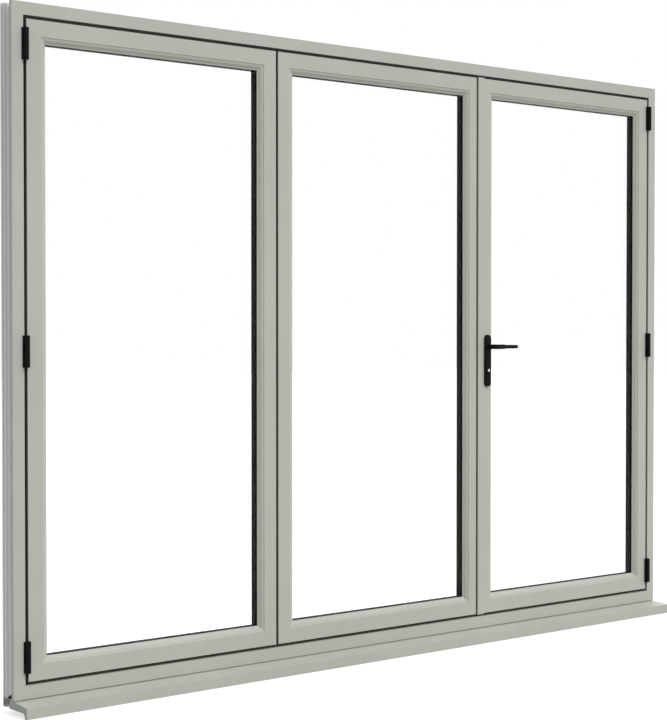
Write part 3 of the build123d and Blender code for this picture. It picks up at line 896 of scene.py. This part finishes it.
@dataclass
class HingeRow:
    """Three knuckle hinges in a row, with pins, between two neighbouring bars."""

    pin_node: str
    loose_node: str
    pin_body: str
    loose_body: str
    pin_side: int
    face: Side
    material: Material
    barrel_radius: float = 8.4 * MM
    axis_out: float = 8.7 * MM
    height: float = 98.5 * MM
    knuckle_gap: float = 0.3 * MM
    wing_half_width: float = 11.6 * MM
    wing_thickness: float = 3.0 * MM
    wing_clearance: float = 0.4 * MM
    rounding: float = 1.0 * MM
    sharp: float = math.radians(50)
    web_start: float = 4.62 * MM
    web_margin: float = 0.3 * MM
    web_step: float = 0.2 * MM
    pin_radius: float = 4.0 * MM
    pin_clearance: float = 0.05 * MM
    pin_head: float = 5.2 * MM
    head_height: float = 0.9 * MM
    head_rounding: float = 0.54 * MM
    barrel_sides: int = 40
    pin_sides: int = 24
    head_sides: int = 32

    def places(self) -> tuple[float, float, list[float]]:
        """Works out the axis and the levels from the nodes' boxes.

        Returns:
            The axis along X, the face of the bars and the hinges' middles.
        """
        low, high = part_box(self.pin_node)
        if self.pin_side < 0:
            axis = low.x + self.wing_half_width
        else:
            axis = high.x - self.wing_half_width
        face = high.y if self.face is Side.OUTSIDE else low.y
        first, last = low.z + self.height / 2, high.z - self.height / 2
        return axis, face, [first, (first + last) / 2, last]

    def knuckle(self, axis: float, face: float, low: float, high: float, side: int) -> Piece:
        """Makes one knuckle with the web that joins it to its wing.

        Args:
            axis: The hinge's axis along X.
            face: The face of the bars.
            low: The knuckle's foot.
            high: Its top.
            side: -1 if its wing is on the left, or 1.

        Returns:
            The knuckle.
        """
        out = self.face.value
        middle = face + out * self.axis_out
        ends = (axis, middle, low), (axis, middle, high)
        barrel = Bench.rod("knuckle", self.barrel_radius, *ends, self.barrel_sides)
        outer = axis + side * (self.wing_half_width - self.web_margin)
        edges = sorted((axis + side * self.web_start, outer))
        depths = sorted((face, face + out * (self.axis_out - self.web_step)))
        web = Bench.block("web", (edges[0], depths[0], low), (edges[1], depths[1], high))

        def thin_edge(place: Vector, normal: Vector) -> bool:
            """Whether a corner of the web is on its outer edge and off the bar."""
            return abs(place.x - outer) < NEAR and abs(place.y - face) > self.wing_thickness

        Bench.pick(web, "VERT", thin_edge)
        drop = self.wing_thickness + self.web_step - self.axis_out
        bpy.ops.transform.translate(value=(0, out * drop, 0))
        Bench.leave()
        Bench.cut(barrel, web, "UNION")
        Bench.round_edges(barrel, self.rounding, 3, self.sharp)
        return barrel

    def wing(self, axis: float, face: float, level: float, side: int) -> Piece:
        """Makes the thin wing that is screwed to the bar, behind the knuckles."""
        out = self.face.value
        reach = self.barrel_radius + self.wing_clearance
        start = math.sqrt(reach**2 - (self.axis_out - self.wing_thickness) ** 2)
        ends = sorted((axis + side * start, axis + side * self.wing_half_width))
        depths = sorted((face, face + out * self.wing_thickness))
        half = self.height / 2
        plate = Bench.block("wing", (ends[0], depths[0], level - half), (ends[1], depths[1], level + half))
        Bench.round_edges(plate, self.rounding / 2, 2)
        return plate

    def half(self, name: str, side: int, with_pin: bool) -> Piece:
        """Makes one half of the three hinges as one mesh.

        Args:
            name: The piece's name.
            side: -1 for the half on the left of the axis, or 1.
            with_pin: Whether this half has the end knuckles and the pin.

        Returns:
            The piece.
        """
        axis, face, levels = self.places()
        middle = face + self.face.value * self.axis_out
        third = self.height / 3
        inset = self.head_height
        made = []

        def upright(name: str, radius: float, low: float, high: float, sides: int) -> Piece:
            """Makes a rod on the hinge's axis."""
            return Bench.rod(name, radius, (axis, middle, low), (axis, middle, high), sides)

        for level in levels:
            foot = level - self.height / 2
            top = foot + self.height
            made.append(self.wing(axis, face, level, side))
            if with_pin:
                made.append(self.knuckle(axis, face, foot + inset, foot + third, side))
                made.append(self.knuckle(axis, face, foot + 2 * third, top - inset, side))
                made.append(upright("pin", self.pin_radius, foot + inset, top - inset, self.pin_sides))
                for low, high in ((foot, foot + 2 * inset), (top - 2 * inset, top)):
                    cap = upright("pin_head", self.pin_head, low, high, self.head_sides)
                    Bench.round_edges(cap, self.head_rounding, 3)
                    made.append(cap)
            else:
                low, high = foot + third + self.knuckle_gap, foot + 2 * third - self.knuckle_gap
                barrel = self.knuckle(axis, face, low, high, side)
                radius = self.pin_radius + self.pin_clearance
                Bench.cut(barrel, upright("bore", radius, foot, top, self.pin_sides))
                made.append(barrel)
        piece = Bench.join(name, made)
        Bench.smooth(piece)
        return piece

    def build(self) -> None:
        """Makes both halves and fits them over their nodes."""
        pinned = self.half(self.pin_node.replace("_halves", ""), self.pin_side, True)
        fit(pinned, self.pin_body, "black_hardware", self.material, self.pin_node)
        loose = self.half(self.loose_node.replace("_halves", ""), -self.pin_side, False)
        fit(loose, self.loose_body, "black_hardware", self.material, self.loose_node)


@dataclass
class GripStation:
    """The grip's height and depth at one distance from the elbow."""

    along: float
    height: float
    depth: float


@dataclass
class HandleSet:
    """Levers, rounded plates and the key cylinder on the access leaf."""

    body: str
    turning_body: str
    black: Material
    nickel: Material
    plate_thickness: float = 10.0 * MM
    plate_rounding: float = 3.2 * MM
    plate_sides: int = 64
    plate_segments: int = 5
    bore_reach: float = 20.0 * MM
    neck_radius: float = 9.0 * MM
    neck_clearance: float = 0.08 * MM
    neck_start: float = 2.0 * MM
    neck_sides: int = 32
    stand_off: float = 44.0 * MM
    elbow_radius: float = 11.0 * MM
    elbow_steps: int = 7
    lever_smooth: float = math.radians(60)
    cylinder_radius: float = 8.5 * MM
    cylinder_web: float = 10.0 * MM
    cylinder_height: float = 33.0 * MM
    cylinder_clearance: float = 0.3 * MM
    cylinder_rounding: float = 0.3 * MM
    plug_radius: float = 5.8 * MM
    plug_clearance: float = 0.15 * MM
    plug_depth: float = 1.0 * MM
    plug_setback: float = 0.05 * MM
    plug_rounding: float = 0.4 * MM
    key_slot: Point = (1.7 * MM, 8.0 * MM, 6.0 * MM)
    screw_radius: float = 4.6 * MM
    screw_inset: float = 14.0 * MM
    screw_seat: float = 2.0 * MM
    screw_proud: float = 0.6 * MM
    screw_rounding: float = 0.5 * MM
    screw_sides: int = 32
    cross_slot: Pair = (4.6 * MM, 0.9 * MM)
    cross_depth: float = 1.0 * MM
    grip: tuple[GripStation, ...] = (
        GripStation(6.0 * MM, 18.0 * MM, 14.0 * MM),
        GripStation(20.0 * MM, 18.0 * MM, 13.2 * MM),
        GripStation(28.0 * MM, 17.6 * MM, 12.6 * MM),
        GripStation(34.0 * MM, 14.6 * MM, 12.0 * MM),
        GripStation(60.0 * MM, 14.2 * MM, 11.4 * MM),
        GripStation(88.0 * MM, 13.6 * MM, 10.6 * MM),
        GripStation(96.0 * MM, 12.8 * MM, 9.8 * MM),
        GripStation(99.4 * MM, 10.6 * MM, 8.2 * MM),
        GripStation(100.9 * MM, 6.8 * MM, 5.4 * MM),
    )

    def lever(self, node: str, face: float, side: Side) -> Piece:
        """Bends a round neck into an elbow and draws it out into a tapering grip.

        Args:
            node: The lever's node, which gives its place.
            face: The face of the leaf that the plate stands on.
            side: Which side of the door it is on.

        Returns:
            The piece.
        """
        out = side.value
        low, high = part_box(node)
        x, z = low.x + self.neck_radius, (low.z + high.z) / 2
        foot = face + out * self.neck_start
        bend = face + out * (self.plate_thickness + self.stand_off - self.elbow_radius)
        name = node.replace("_lever", "_handle")
        piece = Bench.rod(name, self.neck_radius, (x, foot, z), (x, bend, z), self.neck_sides)
        Bench.pick(piece, "FACE", lambda place, normal: normal.y * out > FACING)
        pivot = (x + self.elbow_radius, bend, z)
        bpy.ops.mesh.spin(steps=self.elbow_steps, angle=out * math.pi / 2, center=pivot, axis=(0, 0, 1))
        grip_y = bend + out * self.elbow_radius
        reached, height, depth = pivot[0], 2 * self.neck_radius, 2 * self.neck_radius
        for station in self.grip:
            target = pivot[0] + station.along
            bpy.ops.mesh.extrude_region_move(TRANSFORM_OT_translate={"value": (target - reached, 0, 0)})
            scale = (1.0, station.depth / depth, station.height / height)
            bpy.ops.transform.resize(value=scale, center_override=(target, grip_y, z))
            reached, height, depth = target, station.height, station.depth
        bpy.ops.mesh.select_all(action="SELECT")
        bpy.ops.mesh.normals_make_consistent(inside=False)
        Bench.leave()
        Bench.smooth(piece, self.lever_smooth)
        return piece

    def plate(self, node: str, face: float, side: Side, axis: Pair, lock: Pair) -> Piece:
        """Stretches a disc into a plate with round ends, rounds its rim and bores it.

        Args:
            node: The plate's node, which gives its place.
            face: The face of the leaf that it stands on.
            side: Which side of the door it is on.
            axis: The lever's axis, as X and Z.
            lock: The key cylinder's axis, as X and Z.

        Returns:
            The piece.
        """
        out = side.value
        low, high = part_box(node)
        radius, middle = (high.x - low.x) / 2, (low.z + high.z) / 2
        front = face + out * self.plate_thickness
        x = (low.x + high.x) / 2
        name = node.replace("backplate", "handle_plate")
        piece = Bench.rod(name, radius, (x, face, middle), (x, front, middle), self.plate_sides)
        Bench.pick(piece, "VERT", lambda place, normal: True)
        half_step = math.pi / self.plate_sides
        bpy.ops.transform.rotate(value=half_step, orient_axis="Y", center_override=(x, face, middle))
        Bench.leave()
        stretch = (high.z - low.z) / 2 - radius
        for way in (1, -1):
            Bench.pick(piece, "VERT", lambda place, normal, way=way: (place.z - middle) * way > 0)
            bpy.ops.transform.translate(value=(0, 0, way * stretch))
            Bench.leave()
        Bench.pick(piece, "FACE", lambda place, normal: normal.y * out > FACING)
        bpy.ops.mesh.bevel(offset=self.plate_rounding, segments=self.plate_segments, affect="EDGES")
        Bench.leave()
        start, end = face - self.bore_reach, face + self.bore_reach
        bore = self.neck_radius + self.neck_clearance
        Bench.cut(piece, Bench.rod("bore", bore, (axis[0], start, axis[1]), (axis[0], end, axis[1])))
        Bench.cut(piece, self.cylinder_form("opening", start, end, lock, self.cylinder_clearance))
        Bench.smooth(piece)
        return piece

    def cylinder_form(self, name: str, start: float, end: float, lock: Pair, grow: float) -> Piece:
        """Makes the keyhole-shaped form of a profile cylinder, grown by a clearance."""
        x, z = lock
        radius = self.cylinder_radius + grow
        form = Bench.rod(name, radius, (x, start, z), (x, end, z))
        half = self.cylinder_web / 2 + grow
        foot = z + self.cylinder_radius - self.cylinder_height - grow
        web = Bench.block("web", (x - half, start, foot), (x + half, end, z))
        Bench.cut(form, web, "UNION")
        return form

    def cylinder(self, lock: Pair) -> None:
        """Makes the lock cylinder with a turning plug and a key slot at each end."""
        low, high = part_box("lock_cylinder")
        body = self.cylinder_form("cylinder_body", low.y, high.y, lock, 0.0)
        x, z = lock
        width, height, depth = self.key_slot
        plugs = []
        for end, out in ((low.y, -1), (high.y, 1)):
            seat = (x, end - out * self.plug_depth, z)
            front = end + out * self.plug_depth
            recess = Bench.rod("recess", self.plug_radius + self.plug_clearance, seat, (x, front, z))
            Bench.cut(body, recess)
            plug = Bench.rod("plug", self.plug_radius, seat, (x, end - out * self.plug_setback, z))
            Bench.round_edges(plug, self.plug_rounding, 3)
            near, far = sorted((front, end - out * depth))
            corners = (x - width / 2, near, z - height / 2), (x + width / 2, far, z + height / 2)
            Bench.cut(plug, Bench.block("slot", *corners))
            plugs.append(plug)
        Bench.round_edges(body, self.cylinder_rounding, 2)
        Bench.smooth(body)
        fit(body, self.body, "black_hardware", self.black, "lock_cylinder")
        joined = Bench.join("cylinder_plugs", plugs)
        Bench.smooth(joined)
        fit(joined, self.body, "nickel_cylinder", self.nickel)

    def screws(self, face: float, x: float, low: float, high: float) -> None:
        """Makes the two screw heads of the inside plate, each with a cross slot."""
        front = face + self.plate_thickness
        heads = []
        for z in (low + self.screw_inset, high - self.screw_inset):
            ends = (x, front - self.screw_seat, z), (x, front + self.screw_proud, z)
            head = Bench.rod("screw", self.screw_radius, *ends, self.screw_sides)
            Bench.round_edges(head, self.screw_rounding, 3)
            start, end = front - self.cross_depth, front + self.screw_seat
            for wide, tall in (self.cross_slot, self.cross_slot[::-1]):
                corners = (x - wide / 2, start, z - tall / 2), (x + wide / 2, end, z + tall / 2)
                Bench.cut(head, Bench.block("cross", *corners))
            heads.append(head)
        joined = Bench.join("handle_plate_screws", heads)
        Bench.smooth(joined)
        fit(joined, self.body, "black_hardware", self.black)

    def build(self) -> None:
        """Makes the whole set on both sides of the leaf."""
        spindle_low, spindle_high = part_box("spindle")
        axis = ((spindle_low.x + spindle_high.x) / 2, (spindle_low.z + spindle_high.z) / 2)
        lock_low, lock_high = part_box("lock_cylinder")
        lock = ((lock_low.x + lock_high.x) / 2, lock_high.z - self.cylinder_radius)
        leaf_low, leaf_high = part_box("leaf_3_right_stile")
        faces = ((Side.OUTSIDE, "outside", leaf_low.y), (Side.INSIDE, "inside", leaf_high.y))
        for side, word, face in faces:
            plate = self.plate(f"{word}_backplate", face, side, axis, lock)
            fit(plate, self.body, "black_hardware", self.black, f"{word}_backplate")
            lever = self.lever(f"{word}_lever", face, side)
            fit(lever, self.turning_body, "black_hardware", self.black, f"{word}_lever")
        self.cylinder(lock)
        low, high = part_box("inside_backplate")
        self.screws(leaf_high.y, axis[0], low.z, high.z)


def main() -> None:
    """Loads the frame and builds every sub-assembly in order."""
    logging.basicConfig(level=logging.INFO, format="%(message)s")
    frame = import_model()
    bpy.ops.object.select_all(action="DESELECT")
    nodes = frame["nodes"]
    Studio().build()
    OuterFrame(nodes).build()
    for name in ("leaf_1", "leaf_2", "leaf_3"):
        GlazedLeaf(nodes, name).build()
    dress(nodes["meeting_strip"], PowderCoat().material("meeting_strip_paint", Axis.Z))
    black = SatinBlack().material("satin_black")
    nickel = TurnedMetal(linear(222, 221, 216), 0.26).material("satin_nickel")
    steel = TurnedMetal(linear(190, 190, 190), 0.34).material("bright_steel")
    for name in ("spindle", "lock_case", "lock_keep"):
        dress(nodes[name], steel)
    # The frame seals' rubber is a mid grey, lighter than the leaf gaskets: painted light in the deep,
    # shaded gap between frame and leaves
    seal_rubber_painted_light = Rubber(linear(90, 92, 87), linear(108, 110, 104))
    FrameSeals("door_set", seal_rubber_painted_light.material("frame_rubber_painted_light")).build()
    rows = (
        ("left_hinge_frame_halves", "left_hinge_leaf_halves", "door_set", "door_set", -1, Side.OUTSIDE),
        ("fold_hinge_leaf_1_halves", "fold_hinge_leaf_2_halves", "door_set", "door_set", -1, Side.INSIDE),
        ("right_hinge_frame_halves", "right_hinge_leaf_halves", "door_set", "access_leaf", 1, Side.OUTSIDE),
    )
    for row in rows:
        HingeRow(*row, black).build()
    HandleSet("access_leaf", "handle", black, nickel).build()


if __name__ == "__main__":
    main()
